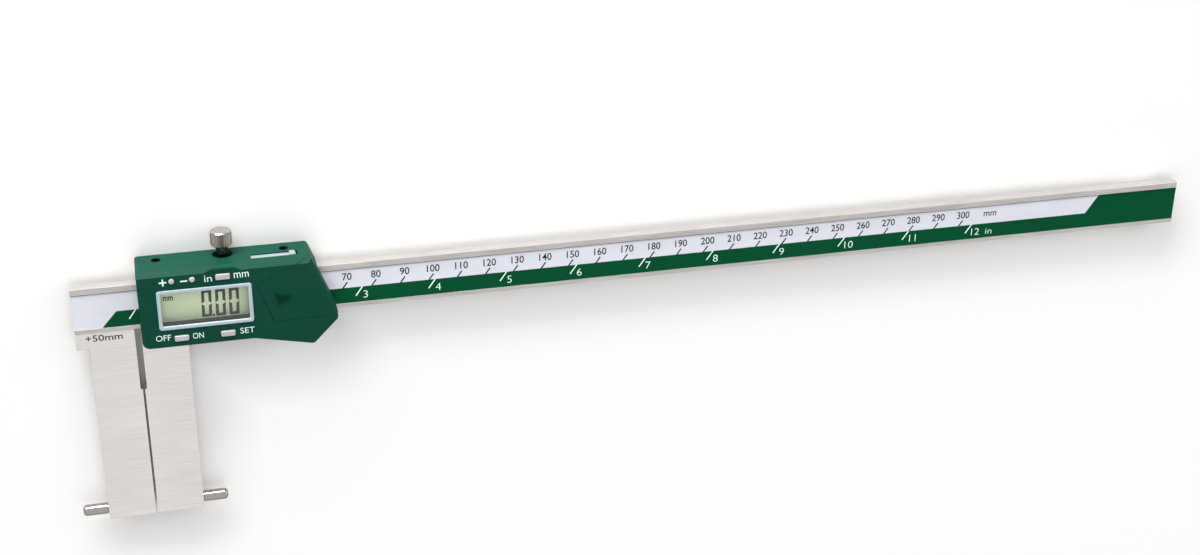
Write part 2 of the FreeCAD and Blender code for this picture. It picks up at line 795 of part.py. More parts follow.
def dome_switches():
    """Five four-legged snap domes on the board."""
    domes = []
    for x, y in rectangular_keys() + round_keys():
        wires = []
        for width, z in ((dome_width, board_top), (dome_crown, dome_top)):
            corners = [FreeCAD.Vector(x + sx * width / 2, y + sy * width / 2, z)
                       for sx, sy in ((-1, -1), (1, -1), (1, 1), (-1, 1))]
            wires.append(Part.makePolygon(corners + corners[:1]))
        domes.append(Part.makeLoft(wires, True, True))
    return domes


def battery_cell():
    """Button cell with its smaller negative cap on the board side."""
    radius = battery_diameter / 2
    cap = battery_cap_diameter / 2
    profile = [(0, 0), (cap, 0), (cap, battery_cap_height), (radius, battery_cap_height + battery_shoulder),
               (radius, battery_height), (0, battery_height)]
    return turned(profile, battery_x, battery_y, battery_bottom, (0, 0, 1))


def battery_minus_contact():
    """Bent leaf on the board under the cell."""
    x, y = battery_x, battery_y
    start = y - battery_diameter / 2 - battery_gap - battery_ring
    bend, rise, end = start + contact_foot, y - contact_rise_end, y + contact_reach
    points = [(start, board_top), (bend, board_top), (rise, battery_bottom - contact_thickness),
              (end, battery_bottom - contact_thickness), (end, battery_bottom), (rise, battery_bottom),
              (bend, board_top + contact_thickness), (start, board_top + contact_thickness)]
    wire = [FreeCAD.Vector(x - contact_width / 2, py, pz) for py, pz in points]
    return Part.Face(Part.makePolygon(wire + wire[:1])).extrude(FreeCAD.Vector(contact_width, 0, 0))


def battery_plus_contact():
    """Upright leaf that touches the cell's side."""
    x = battery_x - battery_diameter / 2
    run = battery_gap + battery_ring
    upright = box(x - contact_thickness, x, battery_y - contact_width / 2, battery_y + contact_width / 2,
                  board_top, battery_top - plus_contact_drop)
    foot = box(x - run, x, battery_y - contact_width / 2, battery_y + contact_width / 2, board_top,
               board_top + contact_thickness)
    return fused([upright, foot])


def battery_cover():
    """Five-sided cover, flush with the housing, with ridges that lean like its left edge and form an arrow."""
    seat = face_back + cover_seat_gap
    pieces = [housing_form().common(slab(cover_corners(0), seat, face + overrun))]
    for tongue in cover_tongues(0):
        around = tongue.BoundBox
        pieces.append(tongue.common(box(around.XMin, around.XMax, around.YMin, around.YMax, seat,
                                        around.ZMax)))
    lean = cover_foot_run / (cover_corner_y - cover_foot_y)
    for i in range(ridge_count):
        length = ridge_longest * (1 - i / ridge_count)
        top = ridge_top_y - ridge_top_fall * (ridge_longest - length)
        left = (cover_corner_x + ridge_from_cover_corner + i * ridge_pitch
                + lean * (ridge_top_y - top))
        foot = left + lean * length
        pieces.append(slab([
            (left, top, 0), (foot, top - length, 0), (foot + ridge_width, top - length, 0),
            (left + ridge_width, top, 0)], face - ridge_root, face + ridge_height))
    return fused(pieces)


def lock_screw():
    """Clamp screw with a straight-knurled head, neck and thread."""
    head_low = housing_top + lock_head_above
    neck_low = frame_top + lock_neck_above_frame
    tip = frame_top - lock_thread_length
    radius = lock_head_diameter / 2
    teeth = []
    for i in range(2 * knurl_count):
        angle = math.pi * i / knurl_count
        r = radius if i % 2 == 0 else radius - knurl_depth
        teeth.append(FreeCAD.Vector(r * math.cos(angle), r * math.sin(angle), 0))
    knurl = Part.Face(Part.makePolygon(teeth + teeth[:1])).extrude(
        FreeCAD.Vector(0, 0, lock_head_height - 2 * lock_head_edge))
    turn = FreeCAD.Rotation(FreeCAD.Vector(0, 0, 1), FreeCAD.Vector(0, 1, 0))
    knurl.Placement = FreeCAD.Placement(FreeCAD.Vector(lock_x, head_low + lock_head_edge, point_z), turn)
    core = rod(lock_x, head_low, point_z, (0, 1, 0), lock_head_diameter - 2 * lock_head_edge,
               lock_head_height)
    neck = rod(lock_x, neck_low, point_z, (0, 1, 0), lock_neck_diameter, head_low - neck_low)
    thread = rod(lock_x, tip, point_z, (0, 1, 0), lock_thread_diameter, neck_low - tip)
    return fused([knurl, core, neck, thread])


def lock_shoe():
    """Brass plug between the screw's tip and the gib strip."""
    low = gib_top + lock_free_gap
    return rod(lock_x, low, point_z, (0, 1, 0), shoe_diameter, frame_top - lock_thread_length - low)


def data_port_cover():
    """Shutter with a nub at its right end."""
    left = port_left - shutter_edge
    right = port_left + port_length - nub_clear
    half = port_height / 2 + shutter_edge
    plate = box(left, right + shutter_edge, shutter_bottom, shutter_top, port_z - half, port_z + half)
    nub_half = port_height / 2 - nub_side_gap
    nub = box(right - nub_length, right, shutter_top - nub_root, housing_top + nub_proud, port_z - nub_half,
              port_z + nub_half)
    return fused([plate, nub])


def data_port_block():
    """Insulator under the shutter that carries the contact strips."""
    right = port_left + port_length + port_end_room - fit_gap
    block = box(port_left - port_block_end, right, cavity_top - port_block_depth, shutter_bottom - fit_gap,
                board_top, port_z + port_height / 2)
    return cut(block, data_port_contacts())


def data_port_contacts():
    """Contact strips let into the top of the insulator."""
    middle = port_left + port_length / 2 - port_contact_shift
    strips = []
    for i in range(port_contact_count):
        x = middle + (i - (port_contact_count - 1) / 2) * port_contact_pitch
        strips.append(box(x - port_contact_width / 2, x + port_contact_width / 2,
                          shutter_bottom - fit_gap - port_contact_reach, shutter_bottom - fit_gap,
                          board_top + port_contact_inset, port_z + port_height / 2))
    return strips


nodes = {
    "main_beam": [main_beam()],
    "scale_grating": [scale_grating()],
    "scale_label": [scale_label()],
    "fixed_point": [measuring_point(-1)],
    "end_stop": [end_stop()],
    "end_stop_screws": end_stop_screw_solids(),
    "slider_frame": [slider_frame()],
    "moving_point": [measuring_point(1)],
    "gib_strip": [gib_strip()],
    "gib_screws": gib_screws(),
    "display_housing": [display_housing()],
    "housing_screws": housing_screws(),
    "display_bezel": [display_bezel()],
    "display_window": [display_window()],
    "lcd_panel": [lcd_panel()],
    "lcd_holder": [lcd_holder()],
    "zebra_strips": zebra_strips(),
    "circuit_board": [circuit_board()],
    "board_screws": board_screws(),
    "processor_chip": [processor_chip()],
    "quartz_crystal": [quartz_crystal()],
    "dome_switches": dome_switches(),
    "battery_cell": [battery_cell()],
    "battery_minus_contact": [battery_minus_contact()],
    "battery_plus_contact": [battery_plus_contact()],
    "battery_cover": [battery_cover()],
    "data_port_block": [data_port_block()],
    "data_port_contacts": data_port_contacts(),
    "data_port_cover": [data_port_cover()],
    "power_button": [rectangular_key(*rectangular_keys()[0])],
    "set_button": [rectangular_key(*rectangular_keys()[1])],
    "unit_button": [rectangular_key(*rectangular_keys()[2])],
    "plus_button": [round_key(*round_keys()[0])],
    "minus_button": [round_key(*round_keys()[1])],
    "lock_screw": [lock_screw()],
    "lock_shoe": [lock_shoe()],
}

# The origin goes to the middle of the bottom of the whole caliper
whole = Part.makeCompound([solid for solids in nodes.values() for solid in solids]).BoundBox
shift = FreeCAD.Vector(-(whole.XMin + whole.XMax) / 2, -(whole.YMin + whole.YMax) / 2, -whole.ZMin)

os.makedirs("parts", exist_ok=True)
for name, solids in nodes.items():
    pieces = [piece for solid in solids for piece in solid.Solids]
    shape = pieces[0] if len(pieces) == 1 else Part.makeCompound(pieces)
    shape.translate(shift)
    shape.exportStep("parts/" + name + ".step")
    print(name, len(pieces), "valid" if shape.isValid() else "NOT VALID", round(shape.Volume, 2))
print("shift", shift.x, shift.y, shift.z, "size", whole.XLength, whole.YLength, whole.ZLength)
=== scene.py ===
"""Digital inside point caliper: the finish of its steel, mouldings, scale print and display."""

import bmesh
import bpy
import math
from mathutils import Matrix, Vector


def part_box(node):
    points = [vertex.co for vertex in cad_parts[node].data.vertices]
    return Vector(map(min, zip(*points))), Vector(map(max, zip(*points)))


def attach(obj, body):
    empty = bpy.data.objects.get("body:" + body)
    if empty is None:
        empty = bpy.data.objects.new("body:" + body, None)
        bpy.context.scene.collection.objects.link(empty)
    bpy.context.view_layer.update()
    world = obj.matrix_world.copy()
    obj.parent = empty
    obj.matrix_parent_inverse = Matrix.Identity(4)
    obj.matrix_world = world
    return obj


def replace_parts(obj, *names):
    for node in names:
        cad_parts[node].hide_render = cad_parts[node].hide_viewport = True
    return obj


bl_info = {
    "name": "Digital inside point caliper",
    "version": (1, 0, 0),
    "blender": (4, 5, 0),
    "location": "View3D > Sidebar > Caliper",
    "description": "Finishes of a 300 mm inside point caliper: steel, green mouldings, scale and display",
    "category": "Object",
}

from bpy.props import FloatProperty, FloatVectorProperty, PointerProperty
from mathutils import Euler, Matrix, Vector

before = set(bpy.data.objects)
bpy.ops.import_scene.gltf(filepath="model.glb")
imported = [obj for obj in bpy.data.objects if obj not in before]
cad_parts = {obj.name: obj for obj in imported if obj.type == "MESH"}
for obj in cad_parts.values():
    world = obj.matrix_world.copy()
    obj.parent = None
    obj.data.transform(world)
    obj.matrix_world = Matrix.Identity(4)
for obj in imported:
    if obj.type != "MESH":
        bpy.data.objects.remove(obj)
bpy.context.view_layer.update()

MM = 0.001
INCH = 25.4

# The range that most of a noise texture's values lie in
NOISE_LOW, NOISE_HIGH = 0.3, 0.7

# Places read from the frame: where the jaws close, the middle of the beam and the levels of the faces
label_low, label_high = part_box("scale_label")
stop_low, stop_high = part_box("end_stop")
beam_low, beam_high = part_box("main_beam")
housing_low, housing_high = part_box("display_housing")
closing_x = (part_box("fixed_point")[0].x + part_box("moving_point")[1].x) / 2
middle_y = (stop_low.y + stop_high.y) / 2
rail_z = beam_high.z
label_z = label_high.z
face_z = housing_high.z
lcd_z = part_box("lcd_panel")[1].z


def linear(code):
    """Linear colour from an sRGB hex value."""
    values = [int(code[i:i + 2], 16) / 255 for i in (1, 3, 5)]
    return [v / 12.92 if v <= 0.04045 else ((v + 0.055) / 1.055) ** 2.4 for v in values] + [1.0]


def colour(name, description, code):
    """Colour property whose default is an sRGB hex value."""
    return FloatVectorProperty(name=name, description=description, subtype="COLOR", size=4, min=0, max=1,
                               default=linear(code))


def length(name, description, millimetres):
    """Length property given in millimetres."""
    return FloatProperty(name=name, description=description, default=millimetres * MM, unit="LENGTH",
                         precision=5)


class CaliperSizes(bpy.types.PropertyGroup):
    """Sizes of the finish, on top of the frame's own sizes."""
    steel_edge: length("Steel edge", "Break on the ground steel's edges", 0.25)
    moulded_edge: length("Moulded edge", "Round on the housing's edges", 0.2)
    small_edge: length("Small edge", "Round on keys, bezel and shutter", 0.2)
    ridge_edge: length("Ridge edge", "Round on the battery cover and its ridges", 0.08)
    screw_edge: length("Screw edge", "Break on the ends and slots of the set screws", 0.07)
    grain_width: length("Grain width", "Distance between grinding lines, drawn coarse enough to show", 0.34)
    grain_length: length("Grain length", "Length of a grinding line", 16.0)
    texture: length("Texture", "Grain of the spark-eroded mould, drawn coarse enough to show", 0.45)
    print_thickness: length("Print", "Thickness of the printing ink", 0.03)
    tick_width: length("Tick width", "Width of a scale line", 0.5)
    figure_height: length("Figures", "Height of the scale's figures", 2.75)
    knurl_width: length("Knurl", "Width of one ridge of the lock screw's knurl", 0.46)


class CaliperColours(bpy.types.PropertyGroup):
    """Colours of the finish."""
    steel: colour("Steel", "Ground stainless steel", "#E0DCD9")
    # Painted shade: a darker tone of the steel for the side faces of beam and jaws
    steel_sides: colour("Steel sides", "Milled side faces of beam and jaws", "#86817D")
    green: colour("Housing", "Moulded housing and battery cover", "#083E30")
    bezel: colour("Bezel", "Frame round the window", "#A7B7BF")
    keys: colour("Keys", "Button caps", "#AFAEB1")
    shutter: colour("Shutter", "Sliding shutter of the data port", "#848D92")
    foil: colour("Foil", "Ground of the millimetre scale", "#D7D8E2")
    foil_green: colour("Foil green", "Ground of the inch scale", "#00492A")
    ink: colour("Ink", "Millimetre lines and figures", "#1C352E")
    white_ink: colour("White ink", "Inch lines, figures and words", "#E4FBF2")
    glass: colour("Display", "Reflector of the display", "#E0EEC2")
    segments: colour("Segments", "Dark segments of the display", "#3A403C")


def sizes():
    """The scene's finish sizes."""
    return bpy.context.scene.caliper_sizes


def colours():
    """The scene's finish colours."""
    return bpy.context.scene.caliper_colours


def at(x, y, z=0.0):
    """Point from millimetres along the beam and across it, at a level in metres."""
    return Vector((closing_x + x * MM, middle_y + y * MM, z))


def add(tree, kind, inputs=None, **settings):
    """Adds a node with its settings, and fills its sockets with values or with other nodes' sockets."""
    node = tree.nodes.new(kind)
    for name, value in settings.items():
        setattr(node, name, value)
    for name, value in (inputs or {}).items():
        socket = node.inputs[name]
        if isinstance(value, bpy.types.NodeSocket):
            tree.links.new(value, socket)
        else:
            socket.default_value = value
    return node


def surface(name, shader_inputs):
    """New material with a Principled shader, given back with its tree and shader."""
    material = bpy.data.materials.new(name)
    material.use_nodes = True
    tree = material.node_tree
    tree.nodes.clear()
    shader = add(tree, "ShaderNodeBsdfPrincipled", shader_inputs)
    add(tree, "ShaderNodeOutputMaterial", {"Surface": shader.outputs["BSDF"]})
    return material, tree, shader


def pattern(tree, size, detail=3.0, rough=0.55):
    """Noise on object coordinates whose features have the given size in metres along X, Y and Z."""
    place = add(tree, "ShaderNodeTexCoord")
    scaled = add(tree, "ShaderNodeMapping", {"Vector": place.outputs["Object"],
                                             "Scale": [1 / size[0], 1 / size[1], 1 / size[2]]})
    noise = add(tree, "ShaderNodeTexNoise", {"Vector": scaled.outputs["Vector"], "Scale": 1.0,
                                             "Detail": detail, "Roughness": rough})
    return noise.outputs["Fac"]


def spread(tree, value, low, high):
    """Maps noise from its usual middle range onto low to high."""
    mapped = add(tree, "ShaderNodeMapRange", {"Value": value, "From Min": NOISE_LOW, "From Max": NOISE_HIGH,
                                              "To Min": low, "To Max": high})
    return mapped.outputs["Result"]


def shade(tree, value, base, darker, lighter):
    """Colour that wanders between a darker and a lighter tone of its base."""
    ramp = add(tree, "ShaderNodeValToRGB", {"Fac": value})
    ramp.color_ramp.elements[0].position = NOISE_LOW
    ramp.color_ramp.elements[1].position = NOISE_HIGH
    ramp.color_ramp.elements[0].color = [min(1.0, c * darker) for c in base[:3]] + [1.0]
    ramp.color_ramp.elements[1].color = [min(1.0, c * lighter) for c in base[:3]] + [1.0]
    return ramp.outputs["Color"]


def bump(tree, shader, height, depth):
    """Bump of a given depth in metres on a shader."""
    node = add(tree, "ShaderNodeBump", {"Height": height, "Distance": depth, "Strength": 1.0})
    tree.links.new(node.outputs["Normal"], shader.inputs["Normal"])


def ground_stainless_steel(name, base):
    """Stainless steel, ground along the beam: satin, with fine long streaks and faint cloudy patches.

    The front rails beside the scale are painted darker than the jaws and the beam's top: painted shade."""
    material, tree, shader = surface(name, {"Metallic": 1.0})
    fine = sizes().grain_width
    streaks = pattern(tree, (sizes().grain_length, fine, fine), 4.0, 0.65)
    clouds = pattern(tree, (22 * MM, 9 * MM, 9 * MM), 2.0)
    streak_share, cloud_share = 0.75, 0.25
    weighed = add(tree, "ShaderNodeMath", {0: streaks, 1: streak_share}, operation="MULTIPLY")
    grain = add(tree, "ShaderNodeMath", {0: clouds, 1: cloud_share, 2: weighed.outputs[0]},
                operation="MULTIPLY_ADD").outputs[0]
    # Painted shade: a mask across the beam that makes the front rails darker than the jaws and the beam's
    # top
    place = add(tree, "ShaderNodeTexCoord")
    across = add(tree, "ShaderNodeSeparateXYZ", {"Vector": place.outputs["Object"]}).outputs["Y"]
    above_jaws = add(tree, "ShaderNodeMapRange", {
        "Value": across, "From Min": label_low.y - 2.1 * MM, "From Max": label_low.y - 1.3 * MM})
    below_top = add(tree, "ShaderNodeMapRange", {
        "Value": across, "From Min": beam_high.y - 0.3 * MM, "From Max": beam_high.y - 0.05 * MM,
        "To Min": 1.0, "To Max": 0.0})
    painted_rail_shade = add(tree, "ShaderNodeMath", {0: above_jaws.outputs["Result"], 1: below_top.outputs["Result"]},
                operation="MULTIPLY")
    tone = add(tree, "ShaderNodeMix", {0: painted_rail_shade.outputs[0], 6: shade(tree, grain, base, 0.84, 1.08),
                                       7: shade(tree, grain, base, 0.48, 0.86)}, data_type="RGBA")
    tree.links.new(tone.outputs[2], shader.inputs["Base Color"])
    tree.links.new(spread(tree, streaks, 0.3, 0.44), shader.inputs["Roughness"])
    bump(tree, shader, streaks, 0.012 * MM)
    return material


def plain_metal(name, code, roughness, grain, variation=0.08):
    """Turned, plated or pressed metal: a tint and an even gloss, broken by tool marks of the given size."""
    material, tree, shader = surface(name, {"Metallic": 1.0})
    marks = pattern(tree, (grain, grain, grain), 2.0)
    tone = shade(tree, marks, linear(code), 1 - variation, 1 + variation)
    tree.links.new(tone, shader.inputs["Base Color"])
    tree.links.new(spread(tree, marks, roughness * 0.8, roughness * 1.2), shader.inputs["Roughness"])
    bump(tree, shader, marks, 0.004 * MM)
    return material


def moulded(name, base, roughness, grain, depth, variation=0.06, gloss=0.35):
    """Moulded plastic: the mould's grain breaks the gloss softly, and the colour wanders slightly."""
    material, tree, shader = surface(name, {"Specular IOR Level": gloss})
    fine = pattern(tree, (grain, grain, grain), 3.0)
    broad = pattern(tree, (14 * MM, 6 * MM, 6 * MM), 2.0)
    tree.links.new(shade(tree, broad, base, 1 - variation, 1 + variation), shader.inputs["Base Color"])
    tree.links.new(spread(tree, fine, roughness * 0.85, roughness * 1.15), shader.inputs["Roughness"])
    bump(tree, shader, fine, depth)
    return material


def printed(name, base, roughness=0.5):
    """Screen-printed ink or foil: flat and satin, with a faint mottle."""
    return moulded(name, base, roughness, 0.5 * MM, 0.002 * MM, 0.03, 0.05)


def display_reflector():
    """Twisted-nematic display over a grey-green reflector: nearly flat, with a very faint gradient."""
    base = colours().glass
    material, tree, shader = surface("display_reflector", {"IOR": 1.5, "Roughness": 0.35})
    wash = pattern(tree, (18 * MM, 9 * MM, 9 * MM), 1.0)
    tree.links.new(shade(tree, wash, base, 0.94, 1.06), shader.inputs["Base Color"])
    return material


def clear_acrylic():
    """Clear acrylic window: see-through, with a thin even gloss."""
    material, tree, shader = surface("clear_acrylic", {
        "Base Color": linear("#E8F2EE"), "IOR": 1.49, "Alpha": 0.04})
    smears = pattern(tree, (6 * MM, 6 * MM, 6 * MM), 2.0)
    tree.links.new(spread(tree, smears, 0.04, 0.1), shader.inputs["Roughness"])
    return material


def board_laminate():
    """Glass-epoxy board under green solder mask: satin, with paler runs of copper below the mask."""
    material, tree, shader = surface("solder_mask", {"IOR": 1.5, "Roughness": 0.35})
    place = add(tree, "ShaderNodeTexCoord")
    grid = add(tree, "ShaderNodeTexBrick", {"Vector": place.outputs["Object"], "Scale": 1 / (2.2 * MM),
                                            "Color1": linear("#0F5A34"), "Color2": linear("#146B3F"),
                                            "Mortar": linear("#3C8C5A"), "Mortar Size": 0.06})
    tree.links.new(grid.outputs["Color"], shader.inputs["Base Color"])
    return material


def rubber_strips():
    """Zebra elastomer: soft white rubber with dark conducting layers at a fine even pitch."""
    material, tree, shader = surface("zebra_elastomer", {"Roughness": 0.7})
    place = add(tree, "ShaderNodeTexCoord")
    lines = add(tree, "ShaderNodeTexWave", {"Vector": place.outputs["Object"], "Scale": 1 / (4.0 * MM)},
                bands_direction="X")
    layers = shade(tree, lines.outputs["Fac"], linear("#8A8480"), 0.3, 1.6)
    tree.links.new(layers, shader.inputs["Base Color"])
    return material


def cad_copy(node):
    """Copy of a CAD node's mesh with its doubles merged and its flat faces joined."""
    mesh = bmesh.new()
    mesh.from_mesh(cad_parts[node].data)
    bmesh.ops.remove_doubles(mesh, verts=mesh.verts, dist=0.001 * MM)
    bmesh.ops.dissolve_limit(mesh, angle_limit=math.radians(1.0), verts=mesh.verts, edges=mesh.edges)
    return mesh


def new_piece(name, mesh, material, body):
    """Object at the origin from a bmesh, riding on a body."""
    data = bpy.data.meshes.new(name)
    mesh.to_mesh(data)
    mesh.free()
    piece = bpy.data.objects.new(name, data)
    bpy.context.scene.collection.objects.link(piece)
    data.materials.append(material)
    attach(piece, body)
    return piece


def settle(piece, smooth_angle=30.0):
    """Applies a piece's modifiers to its mesh and smooths it below an angle."""
    graph = bpy.context.evaluated_depsgraph_get()
    data = bpy.data.meshes.new_from_object(piece.evaluated_get(graph))
    piece.modifiers.clear()
    piece.data = data
    data.shade_smooth()
    data.set_sharp_from_angle(angle=math.radians(smooth_angle))


def rounded(piece, width, segments=2, sharp_angle=35.0):
    """Rounds a piece's sharp edges with a bevel and keeps its flats flat."""
    bevel = piece.modifiers.new("edge_round", "BEVEL")
    bevel.width = width
    bevel.segments = segments
    bevel.limit_method = "ANGLE"
    bevel.angle_limit = math.radians(sharp_angle)
    bevel.harden_normals = False
    settle(piece, 50.0)
    weighted = piece.modifiers.new("flat_faces", "WEIGHTED_NORMAL")
    weighted.keep_sharp = True
    settle(piece, 50.0)


def dressed(node, name, material, body, width, segments=2):
    """A rounded, finished copy of a CAD node that stands for it."""
    piece = new_piece(name, cad_copy(node), material, body)
    rounded(piece, width, segments)
    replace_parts(piece, node)
    return piece


def tint_faces(piece, material, chosen):
    """Gives the faces that a test on their centre and normal picks a second material."""
    piece.data.materials.append(material)
    for face in piece.data.polygons:
        if chosen(face.center, face.normal):
            face.material_index = len(piece.data.materials) - 1


def lathe(mesh, profile, origin, axis, steps=64):
    """Adds a closed solid of revolution to a bmesh, from (radius, height) points along an axis."""
    turn = Vector((0, 0, 1)).rotation_difference(Vector(axis)).to_matrix().to_4x4()
    place = Matrix.Translation(origin) @ turn
    rings = []
    for radius, height in profile:
        if radius == 0:
            rings.append([mesh.verts.new(place @ Vector((0, 0, height)))])
            continue
        ring = []
        for i in range(steps):
            angle = 2 * math.pi * i / steps
            spot = Vector((radius * math.cos(angle), radius * math.sin(angle), height))
            ring.append(mesh.verts.new(place @ spot))
        rings.append(ring)
    for low, high in zip(rings, rings[1:]):
        for i in range(steps):
            j = (i + 1) % steps
            corners = [low[0]] if len(low) == 1 else [low[i], low[j]]
            corners += [high[0]] if len(high) == 1 else [high[j], high[i]]
            mesh.faces.new(corners)


def corners_at(points):
    """Corners in metres from points in millimetres along the beam and across it."""
    return [tuple(at(x, y))[:2] for x, y in points]


def prism(mesh, corners, low, high):
    """Adds a closed plate to a bmesh, from corners in order against the clock and two levels."""
    bottom = [mesh.verts.new((x, y, low)) for x, y in corners]
    top = [mesh.verts.new((x, y, high)) for x, y in corners]
    mesh.faces.new(top)
    mesh.faces.new(bottom[::-1])
    for i in range(len(corners)):
        j = (i + 1) % len(corners)
        mesh.faces.new((bottom[i], bottom[j], top[j], top[i]))


def plate(mesh, x0, x1, y0, y1, low, high):
    """Adds a rectangular plate to a bmesh, between millimetres along and across the beam and two levels."""
    prism(mesh, corners_at([(x0, y0), (x1, y0), (x1, y1), (x0, y1)]), low, high)


def words(mesh, text, centre, width, height, level, weight=0.0, stretch=1.0):
    """Adds flat letters to a bmesh, fitted to a width and a height in millimetres.

    A width of 0 keeps the letters' own proportions, stretched by a factor."""
    curve = bpy.data.curves.new(text, "FONT")
    curve.body = text
    curve.resolution_u = 4
    curve.offset = weight
    curve.extrude = 0.5
    holder = bpy.data.objects.new(text, curve)
    bpy.context.scene.collection.objects.link(holder)
    graph = bpy.context.evaluated_depsgraph_get()
    data = bpy.data.meshes.new_from_object(holder.evaluated_get(graph))
    bpy.data.objects.remove(holder)
    low = [min(v.co[i] for v in data.vertices) for i in range(3)]
    high = [max(v.co[i] for v in data.vertices) for i in range(3)]
    tall = height * MM / (high[1] - low[1])
    wide = width * MM / (high[0] - low[0]) if width else tall * stretch
    data.transform(Matrix.Translation([-(low[i] + high[i]) / 2 for i in range(3)]))
    data.transform(Matrix.Diagonal((wide, tall, sizes().print_thickness, 1.0)))
    data.transform(Matrix.Translation(at(centre[0], centre[1], level)))
    mesh.from_mesh(data)
    bpy.data.meshes.remove(data)


def repeat_tree(name, inputs):
    """New Geometry Nodes tree with named float inputs, given back with its input sockets."""
    tree = bpy.data.node_groups.new(name, "GeometryNodeTree")
    tree.interface.new_socket("Geometry", in_out="OUTPUT", socket_type="NodeSocketGeometry")
    tree.interface.new_socket("Geometry", in_out="INPUT", socket_type="NodeSocketGeometry")
    for label, kind in inputs:
        tree.interface.new_socket(label, in_out="INPUT", socket_type=kind)
    source = tree.nodes.new("NodeGroupInput")
    return tree, source.outputs


def finish_tree(tree, instances, material):
    """Ends a tree: realises the instances, sets the material and gives the result out."""
    real = add(tree, "GeometryNodeRealizeInstances", {"Geometry": instances})
    painted = add(tree, "GeometryNodeSetMaterial", {"Geometry": real.outputs["Geometry"],
                                                    "Material": material})
    tree.links.new(painted.outputs["Geometry"], tree.nodes.new("NodeGroupOutput").inputs[0])


def run_tree(piece, tree, values):
    """Sets a tree's inputs by their identifiers on a new modifier and applies it."""
    modifier = piece.modifiers.new(tree.name, "NODES")
    modifier.node_group = tree
    for item in tree.interface.items_tree:
        if item.in_out == "INPUT" and item.name in values:
            modifier[item.identifier] = values[item.name]
    settle(piece)


def row_of_lines(material):
    """Tree that repeats one slanted line along X: the scale's lines."""
    tree, given = repeat_tree("row_of_lines", [
        ("Count", "NodeSocketInt"), ("Pitch", "NodeSocketFloat"), ("Start", "NodeSocketVector"),
        ("Line", "NodeSocketVector"), ("Slant", "NodeSocketFloat")])
    step = add(tree, "ShaderNodeCombineXYZ", {"X": given["Pitch"]})
    row = add(tree, "GeometryNodeMeshLine", {"Count": given["Count"], "Start Location": given["Start"],
                                             "Offset": step.outputs["Vector"]}, mode="OFFSET")
    line = add(tree, "GeometryNodeMeshCube", {"Size": given["Line"]})
    turn = add(tree, "ShaderNodeCombineXYZ", {"Z": given["Slant"]})
    copies = add(tree, "GeometryNodeInstanceOnPoints", {
        "Points": row.outputs["Mesh"], "Instance": line.outputs["Mesh"], "Rotation": turn.outputs["Vector"]})
    finish_tree(tree, copies.outputs["Instances"], material)
    return tree


def ring_of_ridges(material):
    """Tree that repeats one ridge round an axis along Y: the lock screw's straight knurl."""
    tree, given = repeat_tree("ring_of_ridges", [
        ("Count", "NodeSocketInt"), ("Radius", "NodeSocketFloat"), ("Centre", "NodeSocketVector"),
        ("Ridge", "NodeSocketVector")])
    ring = add(tree, "GeometryNodeMeshCircle", {"Vertices": given["Count"], "Radius": given["Radius"]})
    ridge = add(tree, "GeometryNodeMeshCube", {"Size": given["Ridge"]})
    index = add(tree, "GeometryNodeInputIndex")
    step = add(tree, "ShaderNodeMath", {0: 2 * math.pi, 1: given["Count"]}, operation="DIVIDE")
    angle = add(tree, "ShaderNodeMath", {0: index.outputs["Index"], 1: step.outputs[0], 2: math.pi / 4},
                operation="MULTIPLY_ADD")
    turn = add(tree, "ShaderNodeCombineXYZ", {"Z": angle.outputs[0]})
    copies = add(tree, "GeometryNodeInstanceOnPoints", {
        "Points": ring.outputs["Mesh"], "Instance": ridge.outputs["Mesh"],
        "Rotation": turn.outputs["Vector"]})
    stood = add(tree, "GeometryNodeTransform", {
        "Geometry": copies.outputs["Instances"], "Translation": given["Centre"],
        "Rotation": Euler((math.pi / 2, 0, 0))})
    finish_tree(tree, stood.outputs["Geometry"], material)
    return tree


class CALIPER_OT_steel(bpy.types.Operator):
    """Beam with fixed jaw, slider frame with moving jaw, and stop plate, all of stainless steel"""
    bl_idname = "caliper.steel"
    bl_label = "Ground steel"

    def execute(self, context):
        steel = ground_stainless_steel("ground_stainless_steel", colours().steel)
        shaded_sides_steel = ground_stainless_steel("painted_shade_on_steel_sides", colours().steel_sides)
        edge = sizes().steel_edge
        beam = dressed("main_beam", "ground_beam_and_fixed_jaw", steel, "beam", edge)
        slider = dressed("slider_frame", "ground_slider_and_moving_jaw", steel, "slider", edge)
        # Painted shade: the side faces get a darker copy of the steel, so they look darker than the front,
        # the back and the top
        flat, upward = 0.97, 0.3
        for piece in (beam, slider):
            tint_faces(piece, shaded_sides_steel, lambda centre, normal: abs(normal.z) < flat and normal.y < upward)
        dressed("end_stop", "stop_plate", steel, "beam", edge)
        return {"FINISHED"}


